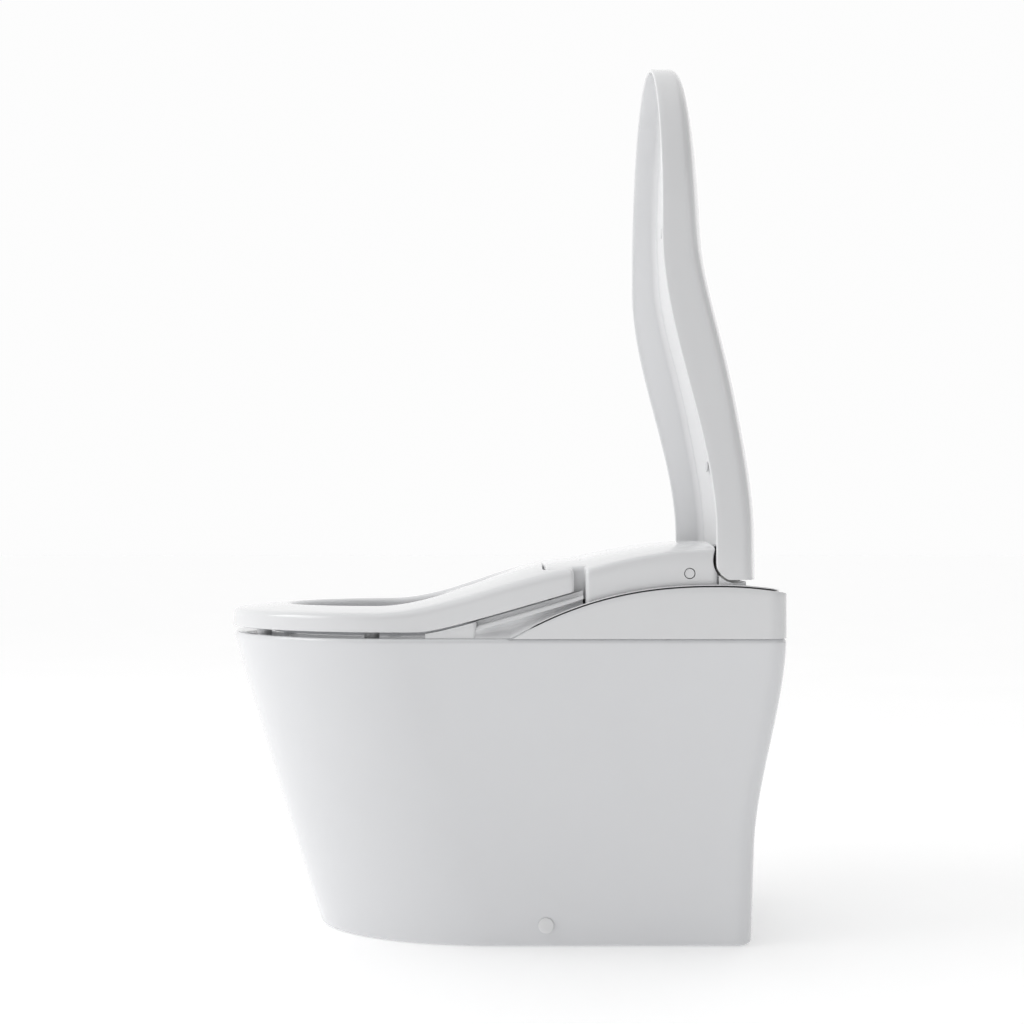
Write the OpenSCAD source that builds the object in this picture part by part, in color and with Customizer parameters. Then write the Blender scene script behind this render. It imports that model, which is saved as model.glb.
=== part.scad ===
// Floor-standing toilet with a built-in electric bidet seat.
// Frame: X across (0 is the plane of symmetry), front towards -Y, +Z up, floor at Z = 0.
// The lid is drawn open, upright, and the seat is drawn down.

/* [Pan] */
// Length of the pan from front tip to rear wall
pan_length = 691; // [688:1:694]
// Width of the pan at its rim
pan_width = 380; // [376:1:384]
// Width of the pan at the floor
foot_width = 260; // [250:1:270]
// Height of the rim above the floor
rim_z = 380; // [378:1:382]
// Thickness of the glazed wall
pan_wall = 12; // [10:1:14]

/* [Seat] */
// Width of the seat ring
seat_width = 366; // [362:1:367]
// Width of the opening in the seat
opening_width = 216; // [200:1:224]
// Length of the opening in the seat
opening_length = 290; // [280:1:296]
// Thickness of the moulded walls of seat, lid and covers
skin = 3; // [2.5:0.1:3.2]
// Radius of the seat's hinge pins
seat_pin_r = 3.6; // [3.2:0.1:3.8]

/* [Lid] */
// Width of the lid over its side walls
lid_width = 378; // [376:1:379]
// Height of the lid's tip when the lid stands open
lid_tip_z = 1108; // [1106:1:1110]
// Radius of the lid's hinge shafts
lid_shaft_r = 6; // [5:0.1:6.5]
// How far the lid's panel bulges at its centre
lid_crown = 20; // [19:0.5:21]

/* [Washing] */
// Radius of the wash nozzle
nozzle_r = 8; // [7:0.1:8.2]
// Length of the wash nozzle
nozzle_length = 150; // [146:1:152]
// Slope of the nozzle's slide below level
nozzle_slope = 22; // [21:0.5:23]

/* [Hidden] */
$fn = 48;
eps = 0.01;

// ---- Pan outline ----
pan_w = pan_width / 2;
foot_w = foot_width / 2;
rear_y = pan_length / 2;
front_y = -pan_length / 2;
nose_foot = 235;      // depth of the rounded front at the floor
nose_rim = 228;       // depth of the rounded front at the rim
corner_r = 25;        // rear upright corners of the pan and housing
toe_r = 5;            // rounding where the skirt meets the floor
rim_r = 6;            // rounding of the rim's outer edge
nose_steps = 32;
corner_steps = 4;
side_steps = 5;

// ---- Bowl ----
bowl_a = 132;
bowl_b = 178;
bowl_y = -112;
bowl_steps = 40;
trap_r = 27;

// ---- Well in the deck behind the bowl ----
well = [300, 213, 118];
well_y = 105;

// ---- Seat ----
seat_w = seat_width / 2;
seat_front = front_y;
seat_nose = nose_rim;
seat_rear = 55;
seat_z = 387;
crease_z = 408.5;
open_a = opening_width / 2;
open_b = opening_length / 2;
open_y = -125;
arm_in = 165;
arm_end = 92;
seat_axis = [86, 456];   // Y, Z of the seat's hinge

// ---- Lid ----
lid_w = lid_width / 2;
lid_axis = [283, 473];   // Y, Z of the lid's hinge
lid_low = 449.5;
lid_nose = 228;
lid_wall = 4;
lug_x = 120;
lug_t = 12;
boss_r = 13;
run = 0.05;              // radial running clearance

// ---- Unit on top of the pan ----
deck_top = 443.2;          // highest point of the housing's side line
deck_peak_y = 262;
cover_w = 183.5;
step_y = 105;             // where the tongue between the seat's ears widens to the cover
tongue_w = 162;
tongue_y = 58;
cover_front = 103;
cover_rear = 262;
plate_t = 3;
plate_top = rim_z + plate_t;
button = [228, 457];     // Y, Z of the side button
button_r = 5.6;

// ---- Nozzle ----
tip = [0, 102.8, 416.6];   // nozzle tip when parked
pinion_r = 7;
pinion_x = nozzle_r + 4.3 + pinion_r;
pinion_z = -22;

// Smooth step from 0 to 1
function ease(t) = let (c = min(1, max(0, t))) c * c * (3 - 2 * c);

// Width, front, nose depth and rear of the pan at a height
function half_width(z) = foot_w + (pan_w - foot_w) * z / rim_z;
function front_at(z) = front_y + 113 * (1 - pow(max(z, 0) / rim_z, 0.95));
function nose_at(z) = nose_foot + (nose_rim - nose_foot) * z / rim_z;
function rear_at(z) = rear_y - 31 * (1 - ease((z - 120) / 260));

// Closed outline: half an ellipse at the front, straight sides, rounded rear corners
function outline(w, front, nose, rear, r) = let (
    middle = front + nose, side = rear - r - middle, steps = side_steps) concat(
    [for (k = [0:nose_steps]) let (a = 180 + 180 * k / nose_steps)
        [w * cos(a), middle + nose * sin(a)]],
    [for (k = [1:steps]) [w, middle + side * k / (steps + 1)]],
    [for (k = [0:corner_steps]) let (a = 90 * k / corner_steps)
        [w - r + r * cos(a), rear - r + r * sin(a)]],
    [for (k = [1:steps]) [(w - r) * (1 - 2 * k / (steps + 1)), rear]],
    [for (k = [0:corner_steps]) let (a = 90 + 90 * k / corner_steps)
        [-w + r + r * cos(a), rear - r + r * sin(a)]],
    [for (k = [steps:-1:1]) [-w, middle + side * k / (steps + 1)]]
);
function pan_ring(z, inset) = [
    for (p = outline(half_width(z) - inset, front_at(z) + inset, nose_at(z) - inset,
                     rear_at(z) - inset, max(4, corner_r - inset)))
        [p[0], p[1], z]
];
function oval(a, b, y, z, n) = [for (k = [0:n - 1]) let (t = 360 * k / n)
    [a * cos(t), y + b * sin(t), z]];

// Solid skin through rings of equal count, listed upwards and each counter-clockwise
module loft(rings) {
    n = len(rings[0]);
    m = len(rings);
    sides = [for (j = [0:m - 2], i = [0:n - 1], half = [0:1])
        let (a = j * n + i, b = j * n + (i + 1) % n)
        half == 0 ? [a, a + n, b + n] : [a, b + n, b]];
    polyhedron(
        points = [for (r = rings) each r],
        faces = concat([[for (i = [0:n - 1]) i]], sides,
                       [[for (i = [n - 1:-1:0]) (m - 1) * n + i]]),
        convexity = 10
    );
}

// Ring-shaped skin: the last ring joins the first
module torus_loft(rings) {
    n = len(rings[0]);
    m = len(rings);
    polyhedron(
        points = [for (r = rings) each r],
        faces = [for (j = [0:m - 1], i = [0:n - 1], half = [0:1])
            let (a = j * n + i, b = j * n + (i + 1) % n,
                 c = ((j + 1) % m) * n + i, d = ((j + 1) % m) * n + (i + 1) % n)
            half == 0 ? [a, c, d] : [a, d, b]],
        convexity = 10
    );
}

// Turns an outline of [Y, Z] points into a plate from x0 to x1
module across(x0, x1) {
    translate([x0, 0, 0]) rotate([90, 0, 90]) linear_extrude(x1 - x0) children();
}
// The same plate on both sides of the object
module both_sides(x0, x1) {
    across(x0, x1) children();
    across(-x1, -x0) children();
}
// Round bar along X at a [Y, Z] place
module bar(at, r, x0, x1) {
    translate([x0, at[0], at[1]]) rotate([0, 90, 0]) cylinder(r = r, h = x1 - x0);
}
module mirrored() {
    children();
    mirror([1, 0, 0]) children();
}
module block(low, high) {
    translate(low) cube(high - low);
}
// Hex-head screw along -Z, head resting at Z = 0
module screw(r, length, head_r, head_h) {
    translate([0, 0, -length]) cylinder(r = r, h = length);
    cylinder(r = head_r, h = head_h);
}

// ---- Heights of the top unit ----
function deck(y) = y < deck_peak_y
    ? deck_top - 62.3 * pow((deck_peak_y - y) / 245, 2.33)
    : deck_top - 66 * pow((y - deck_peak_y) / 245, 2);
function crease(y) = crease_z + 55 * ease((y + 150) / 280);
function seat_crown(y) = 8 + 6.5 * ease((y + 150) / 200);
function seat_under(y) = let (s = max(0, y + 95)) seat_z + 0.3 * s * s / (s + 30);
function seat_edge(x, y) =
    sqrt(pow(x / seat_w, 2) + pow(min(0, y - seat_front - seat_nose) / seat_nose, 2));
function seat_top(x, y) = crease(y) + seat_crown(y) * (1 - pow(min(1, seat_edge(x, y)), 4));
function cover_side(y) = y < cover_front
    ? 459.5 - 0.12 * (cover_front - y)
    : 459.5 + 25 * (1 - pow(1 - (y - cover_front) / 157, 2));
function cover_top(x, y) = cover_side(y)
    + (14.5 - 3.5 * ease((y - 58) / 130)) * (1 - pow(min(1, abs(x) / cover_w), 4));
function ridge(y) = seat_under(y) - 7;

// ---- Lid: front edge and depth of its wall at a height ----
function lid_front(z) = 258.6 - 64 * ease((z - 500) / 360);
function lid_depth(z) = 39 - 5 * (z - 510) / 440 + 10.5 * exp(-pow((z - 735) / 120, 2));

module ceramic_pan() {
    color("white") resize([0, 0, 0]) difference() {
        union() {
            difference() {
                loft([for (s = [[0, toe_r], [1.5, 2], [5, 0], [60, 0], [120, 0], [170, 0], [220, 0],
                                [270, 0], [320, 0], [rim_z - rim_r, 0], [rim_z - 1.8, 1.8],
                                [rim_z, rim_r]]) pan_ring(s[0], s[1])]);
                loft([for (z = [-1, 60, 120, 180, 240, 300, 354]) pan_ring(z, pan_wall)]);
            }
            bowl_form(pan_wall);
            intersection() {
                block([-well[0] / 2 - pan_wall, well_y - pan_wall, rim_z - well[2] - pan_wall],
                      [well[0] / 2 + pan_wall, well_y + well[1] + pan_wall, rim_z - 1]);
                loft([for (z = [-1, 120, 240, 300, rim_z]) pan_ring(z, 3)]);
            }
            trapway(trap_r + 9);
        }
        bowl_form(0);
        trapway(trap_r);
        block([-well[0] / 2, well_y, rim_z - well[2]],
              [well[0] / 2, well_y + well[1], rim_z + 1]);
        for (side = [-1, 1]) translate([side * foot_w, 60, 28]) rotate([0, 90, 0])
            cylinder(r = 6, h = 60, center = true, $fn = 24);
        at_bolts(rim_z - 20) cylinder(r = 4.5, h = 30, $fn = 20);
        translate([0, trap_out_y, -1]) cylinder(r = trap_r + 4, h = 30);
    }
}
// Bowl as a stack of ovals that shrink and move back towards the sump
bowl_rings = [
    [104, 30, 34, -34], [112, 40, 44, -38], [130, 50, 58, -46], [160, 64, 82, -62],
    [200, 84, 112, -80], [250, 108, 144, -96], [300, 125, 166, -107], [345, 134, 178, -112],
    [372, 134, 180, -112], [380, 132, 178, -112], [382, 132, 178, -112]
];
module bowl_form(grow) {
    top = len(bowl_rings) - (grow > 0 ? 3 : 1);
    loft([for (k = [0:top]) let (r = bowl_rings[k])
        oval(r[1] + grow, r[2] + grow, r[3], r[0] - (k == 0 ? grow : 0), bowl_steps)]);
}
// Trap: from the sump up over the weir and down to the floor outlet
trap_out_y = 205;
trap_path = [
    [-30, 128], [0, 118], [30, 116], [60, 128], [84, 152], [104, 178], [128, 196], [156, 200],
    [182, 188], [198, 164], [205, 130], [205, 80], [205, 24]
];
module trapway(r) {
    n = len(trap_path);
    loft([for (k = [0:n - 1])
        let (a = trap_path[max(0, k - 1)], b = trap_path[min(n - 1, k + 1)],
             d = (b - a) / norm(b - a), c = trap_path[k])
        [for (i = [0:19]) let (t = -360 * i / 20)
            [r * cos(t), c[0] - r * sin(t) * d[1], c[1] + r * sin(t) * d[0]]]]);
}

module floor_brackets() {
    color("gainsboro") for (side = [-1, 1]) difference() {
        union() {
            translate([side * 88, 60, 4]) cube([50, 90, 8], center = true);
            translate([side * 106, 60, 26]) cube([20, 50, 36.2], center = true);
        }
        for (y = [30, 90]) translate([side * 84, y, -1]) cylinder(r = 3.2, h = 20);
        translate([side * 106, 60, 28]) rotate([0, 90, 0]) cylinder(r = 3, h = 40, center = true);
    }
}
module side_screws() {
    color("silver") mirrored() {
        bar([60, 28], 2.95, 97, 127);
        bar([60, 28], 5.2, 125, 128.5);
    }
}
module side_screw_caps() {
    color("white") mirrored() {
        bar([60, 28], 5.9, 129, 134.5);
        bar([60, 28], 5.9, 134, 137);
        bar([60, 28], 9.5, 136.1, 137.6);
    }
}
module outlet_connector() {
    color("dimgray") translate([0, trap_out_y, 0]) difference() {
        union() {
            cylinder(r = 55, h = 6);
            cylinder(r = 38, h = 22);
        }
        translate([0, 0, -1]) cylinder(r = 30, h = 40);
        for (a = [45:90:315]) rotate([0, 0, a]) translate([47, 0, -1]) cylinder(r = 3, h = 10);
    }
}

// The base plate's four bolts, two in front and two behind
module at_bolts(z) {
    for (side = [-1, 1], at = [[40, 82], [100, 330]]) translate([side * at[0], at[1], z]) children();
}
module base_plate() {
    color("gainsboro") difference() {
        block([-160, 66, rim_z], [160, 338, plate_top]);
        at_bolts(rim_z - 1) cylinder(r = 4.2, h = 10);
        translate([-70, 200, rim_z - 1]) cylinder(r = 22, h = 10);
        translate([0, 150, rim_z - 1]) cylinder(r = 12, h = 10);
    }
}
module base_bolts() {
    color("silver") at_bolts(plate_top) screw(3.9, 20, 7.5, 4);
}

// Area under the housing's side line, moved by dz, from y0 to y1
module under_deck(dz, y0, y1, floor_z) {
    polygon(concat([[y0, floor_z]],
        [for (k = [0:22]) let (y = y0 + (y1 - y0) * k / 22) [y, max(floor_z + 0.2, deck(y) + dz)]],
        [[y1, floor_z]]));
}
module housing() {
    color("white") resize([0, 0, 0]) difference() {
        intersection() {
            translate([0, 0, rim_z]) linear_extrude(80)
                polygon(outline(pan_w - 0.5, front_y, nose_rim, rear_y, corner_r));
            across(-200, 200) under_deck(0, 12, rear_y, rim_z);
        }
        intersection() {
            translate([0, 0, rim_z - 1]) linear_extrude(80)
                polygon(outline(pan_w - 4.5, front_y, nose_rim, rear_y - 4, corner_r - 4));
            across(-200, 200) under_deck(-7, 12, rear_y, rim_z - 1);
        }
        block([-pan_w + 4.5, 0, rim_z - 1], [pan_w - 4.5, cover_rear + 1, 500]);
        block([-184.3, 0, rim_z - 1], [184.3, cover_front + 1, 500]);
        block([-142, 262, 430], [142, 300, 460]);
        block([-190, 203, 395], [-180, 247, 432]);
        translate([-60, rear_y - 10, 400]) rotate([-90, 0, 0]) cylinder(r = 11, h = 20, $fn = 32);
        translate([60, rear_y - 10, 405]) rotate([-90, 0, 0]) cylinder(r = 13, h = 20, $fn = 32);
    }
}
// Sculpted ledges beside the seat's rising edge, standing on the pan's rim
module side_scoops() {
    color("white") both_sides(170, 184) polygon(concat(
        [[-84, rim_z]],
        [for (y = [-84:12:-24]) [y, seat_under(y) - 2]],
        [for (y = [-20:12.1:101]) [y, ridge(y)]],
        [[101, rim_z]]));
}
module trim_strips() {
    color("silver") both_sides(pan_w - 3.2, pan_w - 0.7) polygon(concat(
        [for (y = [40:14:334]) [y, deck(y) + 0.2]],
        [for (y = [334:-14:40]) [y, deck(y) + 1]]));
}

// One cross-section of the cover at depth y, drawn inside its walls by inset
function cover_w_at(y) = tongue_w + (cover_w - tongue_w) * ease((y - step_y) / 4);
function cover_low(y) = y < step_y + 0.6 ? 426 : deck(y) - 3.5;
function cover_ring(y, inset, bottom) =
    let (w = cover_w_at(y - inset) - inset, n = 14, r = 7)
    concat(
        [[-w, y, bottom], [-w, y, cover_top(w, y) - inset - r]],
        [for (k = [0:n]) let (x = -w + 2 + 2 * (w - 2) * k / n)
            [x, y, cover_top(x, y) - inset - (k == 0 || k == n ? 2.5 : 0)]],
        [[w, y, cover_top(w, y) - inset - r], [w, y, bottom]]);
module top_cover() {
    color("white") resize([0, 0, 0]) difference() {
        loft([for (y = [tongue_y, 64, 76, 88, step_y, step_y + 1, step_y + 2.5, step_y + 4, 120,
                        145, 175, 205, 235, cover_rear]) cover_ring(y, 0, cover_low(y))]);
        loft([for (y = [tongue_y + skin, 76, 88, step_y + skin, step_y + skin + 2,
                        step_y + skin + 4, 120, 145, 175, 205, 235, cover_rear + 1])
            cover_ring(y, skin, 400)]);
        bar(button, button_r + 0.4, cover_w - 10, cover_w + 10);
        mirrored() bar(seat_axis, seat_pin_r + 0.4, tongue_w - 17, tongue_w + 10);
    }
}
module hinge_cover() {
    color("white") mirrored() across(142.5, 184) difference() {
        translate([262.2, 443.3]) square([31.8, 12]);
        translate([lid_axis[0], lid_axis[1]]) circle(r = 27.6);
    }
    color("white") across(-98, 98) difference() {
        union() {
            translate([270, 447.5]) square([30, 25]);
            translate([lid_axis[0], lid_axis[1]]) circle(r = 18);
            translate([263, 473]) square([20, 18]);
            translate([263, 447.5]) square([8, 30]);
        }
        translate([lid_axis[0], lid_axis[1]]) circle(r = 15.6);
        translate([266, 440]) square([31, 33]);
        translate([262, 470]) square([21, 18.5]);
    }
}
module front_panel() {
    color("white") difference() {
        block([-155, tongue_y, plate_top + 0.1], [155, tongue_y + skin, 425.5]);
        block([-15, tongue_y - 1, 387], [15, tongue_y + 5, 417]);
        block([45, tongue_y - 1, 392], [105, tongue_y + 5, 414]);
        block([-105, tongue_y - 1, 392], [-65, tongue_y + 5, 410]);
        block([-45, tongue_y - 1, 394], [-25, tongue_y + 5, 404]);
    }
}
shutter_axis = [55.6, 418.5];
module nozzle_shutter() {
    color("white") {
        block([-14.5, 54.5, 389], [14.5, 56.7, 417.5]);
        bar(shutter_axis, 1.5, -14.5, 14.5);
    }
}

// Places its children along the nozzle's slide: +Z of the child points forward and down
module along_nozzle() {
    translate(tip) rotate([90 + nozzle_slope, 0, 0]) children();
}
module nozzle_guide() {
    color("gainsboro") {
        along_nozzle() translate([0, 0, -13]) difference() {
            translate([-13, -13, 0]) cube([26, 23, 12]);
            translate([0, 0, -1]) cylinder(r = nozzle_r + 0.3, h = 20);
            translate([7, -3, -1]) cube([8, 6, 20]);
        }
        along_nozzle() translate([-8.5, -16, -nozzle_length - 2])
            cube([17, 3, nozzle_length + 1]);
        block([-8, 205, plate_top], [8, 211, 438]);
    }
}
module wash_nozzle() {
    color("gainsboro") along_nozzle() difference() {
        union() {
            translate([0, 0, -nozzle_length]) cylinder(r = nozzle_r, h = nozzle_length - 3);
            translate([0, 0, -3 - eps]) cylinder(r1 = nozzle_r, r2 = nozzle_r - 3, h = 3);
            translate([-8.8, -12.6, -nozzle_length]) cube([17.6, 12, 8]);
            translate([nozzle_r - 0.5, -2, -nozzle_length]) cube([4.5, 4, nozzle_length - 10]);
        }
        for (z = [-14, -20]) translate([0, 0, z]) rotate([-90, 0, 0])
            cylinder(r = 1, h = 20);
    }
}
module at_pinion() {
    along_nozzle() translate([pinion_x, -2, pinion_z]) children();
}
module nozzle_pinion() {
    color("ivory") at_pinion() rotate([-90, 0, 0]) difference() {
        cylinder(r = pinion_r, h = 5);
        translate([0, 0, -1]) cylinder(r = 1.5 + run, h = 10);
    }
}
module nozzle_motor() {
    color("dimgray") at_pinion() rotate([90, 0, 0]) {
        translate([0, 0, -6]) cylinder(r = 1.5, h = 7.5);
        translate([0, 0, 1.4]) cylinder(r = 10, h = 14);
    }
}

// ---- Seat ----
function seat_loop(out, z) = [for (p = outline(seat_w - out, seat_front + out, seat_nose - out,
    seat_rear - out, 12)) [p[0], p[1], 0]];
// Opening with as many points as the seat's outline, matched by direction
open_n = nose_steps + 1 + 2 * (corner_steps + 1) + 3 * side_steps;
function open_loop(grow) = [for (k = [0:open_n - 1])
    let (a = k <= nose_steps ? 180 + 180 * k / nose_steps
                             : 180 * (k - nose_steps) / (open_n - nose_steps))
    [(open_a + grow) * cos(a), open_y + (open_b + grow) * sin(a)]];
// Ring of the seat at a share t of the way from outer edge to opening
function seat_ring(t, drop, out, lift) = let (o = seat_loop(out, 0), q = open_loop(out))
    [for (k = [0:open_n - 1]) let (p = [o[k][0], o[k][1]] * (1 - t) + q[k] * t)
        [p[0], p[1], drop == undef ? seat_under(p[1]) + lift : seat_top(p[0], p[1]) - drop]];
module seat_top_shell() {
    color("white") torus_loft([
        seat_ring(0, undef, 0, 0),
        seat_ring(0, 8, 0, 0),
        seat_ring(0.035, 2.5, 0, 0),
        seat_ring(0.12, 0, 0, 0),
        seat_ring(0.5, 0, 0, 0),
        seat_ring(0.85, 0, 0, 0),
        seat_ring(0.95, 3, 0, 0),
        seat_ring(1, 9, 0, 0),
        seat_ring(1, undef, 0, 0),
        seat_ring(1, undef, skin, 0),
        seat_ring(1, 10, skin, 0),
        seat_ring(0.88, 3.4, skin, 0),
        seat_ring(0.5, skin, skin, 0),
        seat_ring(0.12, skin, skin, 0),
        seat_ring(0, 9, skin, 0),
        seat_ring(0, undef, skin, 0)
    ]);
}
module seat_bottom_shell() {
    color("whitesmoke") torus_loft([
        seat_ring(0, undef, skin + 0.4, 0.4),
        seat_ring(0, undef, skin + 0.4, 3),
        seat_ring(1, undef, skin + 0.4, 3),
        seat_ring(1, undef, skin + 0.4, 0.4)
    ]);
}
module seat_heater() {
    color("orange") torus_loft([
        seat_ring(0.2, skin + 2.4, skin, 0),
        seat_ring(0.2, skin + 1.6, skin, 0),
        seat_ring(0.5, skin + 1.2, skin, 0),
        seat_ring(0.8, skin + 1.6, skin, 0),
        seat_ring(0.8, skin + 2.4, skin, 0),
        seat_ring(0.5, skin + 2, skin, 0)
    ]);
}
module seat_bumpers() {
    color("gainsboro") {
        for (x = [-1, 1]) translate([x * 152, -150, rim_z + 0.2]) cylinder(r = 9, h = 7);
        for (x = [-1, 1]) translate([x * 95, -290, rim_z + 0.2]) cylinder(r = 9, h = 7);
    }
}
module seat_hinge_arms() {
    color("white") mirrored() difference() {
        across(arm_in, seat_w - 0.5) polygon(concat(
            [for (y = [seat_rear:6:85]) [y, seat_under(y)]],
            [[88, 436], [arm_end, 442], [arm_end, 453], [89, 457.5], [84, 459]],
            [for (y = [78:-6:seat_rear]) [y, crease(y) - 0.8]],
            [[seat_rear, crease(seat_rear) - 0.8]]));
        bar(seat_axis, seat_pin_r + run, arm_in - 1, arm_in + 11);
    }
}
module seat_hinge_pins() {
    color("silver") mirrored() bar(seat_axis, seat_pin_r, 146, arm_in + 10.5);
}
module seat_drive() {
    color("dimgray") mirrored() difference() {
        union() {
            block([122, 70, plate_top], [152, 110, 440]);
            block([138, 78, 440], [152, 94, seat_axis[1] - 0.5]);
        }
        bar(seat_axis, seat_pin_r, 146, 160);
    }
}

// ---- Lid: level slices stacked from its lower end to its tip ----
lid_mid_z = lid_tip_z - lid_nose;
lid_levels = concat([446, 462, 480, 500], [for (z = [530:30:890]) z],
    [915, 945, 975, 1005, 1030, 1055, 1075, 1090]);
function lid_half(z, inset) = (lid_w - inset)
    * sqrt(max(0, 1 - pow(max(0, z - lid_mid_z) / (lid_nose - inset), 2)));
function lid_back(x, z) = lid_front(z) + lid_depth(z) + lid_crown
    * (1 - pow(min(1, sqrt(pow(x / lid_w, 2) + pow(max(0, z - lid_mid_z) / lid_nose, 2))), 4));
function lid_slice(z, inset, front, thick) =
    let (w = lid_half(z, inset), n = 16, top = [for (k = [0:n]) w * cos(180 * k / n)])
    concat(
        [[-w, front, z], [w, front, z], [w, lid_back(w, z) - thick - 8, z]],
        [for (k = [0:n]) let (x = top[k] * 0.985)
            [x, lid_back(x, z) - thick - (k == 0 || k == n ? 3 : 0), z]],
        [[-w, lid_back(w, z) - thick - 8, z]]);
module lid_shell() {
    color("white") resize([0, 0, 0]) difference() {
        loft([for (z = concat(lid_levels, [1100, 1106, lid_tip_z - 0.3]))
            lid_slice(z, 0, lid_front(z), 0)]);
        loft([for (z = concat(lid_levels, [1098, 1103.6])) lid_slice(z == 446 ? 440 : z, lid_wall,
            lid_front(z) - 3, skin + 0.4)]);
        block([-200, 200, 440], [200, 340, lid_low]);
        difference() {
            block([-200, 200, 440], [200, 340, lid_axis[1]]);
            bar(lid_axis, 25.4, -200, 200);
            block([-lid_w + lid_wall, lid_axis[0], 440], [lid_w - lid_wall, 340, 480]);
        }
    }
}
function liner_slice(z) = let (w = lid_half(z, 16), n = 16, gap = skin + 1.2) concat(
    [for (k = [0:n]) let (x = -w * cos(180 * k / n))
        [x, lid_back(x, z) - gap - 2, z]],
    [for (k = [0:n]) let (x = w * cos(180 * k / n))
        [x, lid_back(x, z) - gap, z]]);
module lid_liner() {
    color("whitesmoke") loft([for (z = concat([456], [for (z = lid_levels) if (z > 470) z]))
        liner_slice(z)]);
}
module lid_bumpers() {
    color("gainsboro") for (x = [-1, 1], z = [930, 600]) translate([x * 122, lid_back(122, z) - 8.6, z])
        rotate([90, 0, 0]) cylinder(r = 7, h = z > 900 ? 7 : 1.5);
}
module lid_hinge_lugs() {
    color("white") mirrored() across(lug_x - lug_t / 2, lug_x + lug_t / 2) difference() {
        union() {
            translate(lid_axis) circle(r = boss_r);
            translate([lid_axis[0], lid_axis[1] - 8]) square([23.5, 25]);
        }
        translate(lid_axis) circle(r = lid_shaft_r + run);
    }
}
module lid_shafts() {
    color("silver") mirrored() bar(lid_axis, lid_shaft_r, 100, lug_x + 20);
}
module hinge_posts() {
    color("gainsboro") mirrored() for (x = [100, lug_x + lug_t / 2 + 1])
        across(x, x + (x < lug_x ? 13 : 12)) difference() {
            union() {
                translate(lid_axis) circle(r = 12);
                translate([lid_axis[0] - 12, plate_top]) square([24, lid_axis[1] - plate_top]);
            }
            translate(lid_axis) circle(r = lid_shaft_r);
        }
}
module lid_drive() {
    color("dimgray") mirrored() bar(lid_axis, 15, 24, 97);
}

// ---- Works under the covers ----
module water_heater() {
    color("lightsteelblue") difference() {
        union() {
            block([-100, 122, plate_top], [-30, 232, 440]);
            translate([-65, 232, 410]) rotate([-90, 0, 0]) cylinder(r = 6, h = 12);
        }
        translate([-65, 225, 410]) rotate([-90, 0, 0]) cylinder(r = 4, h = 30);
    }
}
module wash_pump() {
    color("dimgray") {
        translate([-62, 70, 403]) rotate([-90, 0, 0]) cylinder(r = 16, h = 34);
        block([-74, 76, plate_top], [-50, 98, 388]);
        translate([-62, 104, 403]) rotate([-90, 0, 0]) cylinder(r = 5, h = 12);
    }
}
module inlet_valve() {
    color("gold") translate([60, 300, 405]) {
        translate([-15, 0, -22]) cube([30, 26, 40]);
        rotate([-90, 0, 0]) difference() {
            cylinder(r = 10.4, h = 45);
            translate([0, 0, 30]) cylinder(r = 7.5, h = 20);
        }
    }
}
module flush_valve() {
    color("gainsboro") {
        block([-120, 150, rim_z - well[2]], [-40, 230, 300]);
        translate([-70, 200, 300]) cylinder(r = 26, h = 36);
    }
}
module flush_pipe() {
    color("dimgray") translate([-70, 200, 336]) difference() {
        cylinder(r = 18, h = 46.5);
        translate([0, 0, -1]) cylinder(r = 15, h = 60);
    }
}
module flush_pump() {
    color("dimgray") {
        block([20, 140, rim_z - well[2]], [120, 250, 270]);
        translate([70, 195, 270]) cylinder(r = 38, h = 60);
    }
}
module dryer_fan() {
    color("gray") translate([75, 120.5, plate_top]) difference() {
        cylinder(r = 28, h = 44);
        translate([0, 0, 4]) cylinder(r = 12, h = 60);
    }
}
module dryer_duct() {
    color("gainsboro") difference() {
        block([46, tongue_y + skin, 388], [104, 90, 418]);
        block([49, tongue_y, 392], [101, 91, 414]);
    }
}
module deodorizer_fan() {
    color("gray") translate([-102, 91, plate_top]) difference() {
        cylinder(r = 16, h = 32);
        translate([0, 0, 4]) cylinder(r = 8, h = 60);
    }
}
module deodorizer_filter() {
    color("darkgray") {
        block([-186, 206, 398], [-112, 244, 429]);
        block([-188.6, 204, 396], [-186, 246, 431]);
    }
}
module control_board() {
    color("darkgreen") {
        block([116, 126, 392], [156, 226, 393.6]);
        block([122, 150, 393.6], [136, 164, 396]);
        for (y = [176:14:204]) translate([146, y, 393.6]) cylinder(r = 5, h = 14);
        for (x = [120, 152], y = [130, 222]) translate([x, y, plate_top]) cylinder(r = 2.5, h = 9);
    }
}
module power_supply() {
    color("dimgray") block([42, 156, plate_top], [108, 222, 424]);
}
module side_button() {
    color("whitesmoke") bar(button, button_r, cover_w - 9, cover_w - 1);
}
module night_light() {
    color("lightyellow") block([-44.8, tongue_y + 0.4, 394.2], [-25.2, tongue_y + 6, 403.8]);
}
module cord_gland() {
    color("dimgray") translate([-60, 334, 400]) rotate([-90, 0, 0]) difference() {
        union() {
            cylinder(r = 14, h = 4);
            cylinder(r = 10.5, h = 11.5);
        }
        translate([0, 0, -1]) cylinder(r = 4, h = 20);
    }
}

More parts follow.
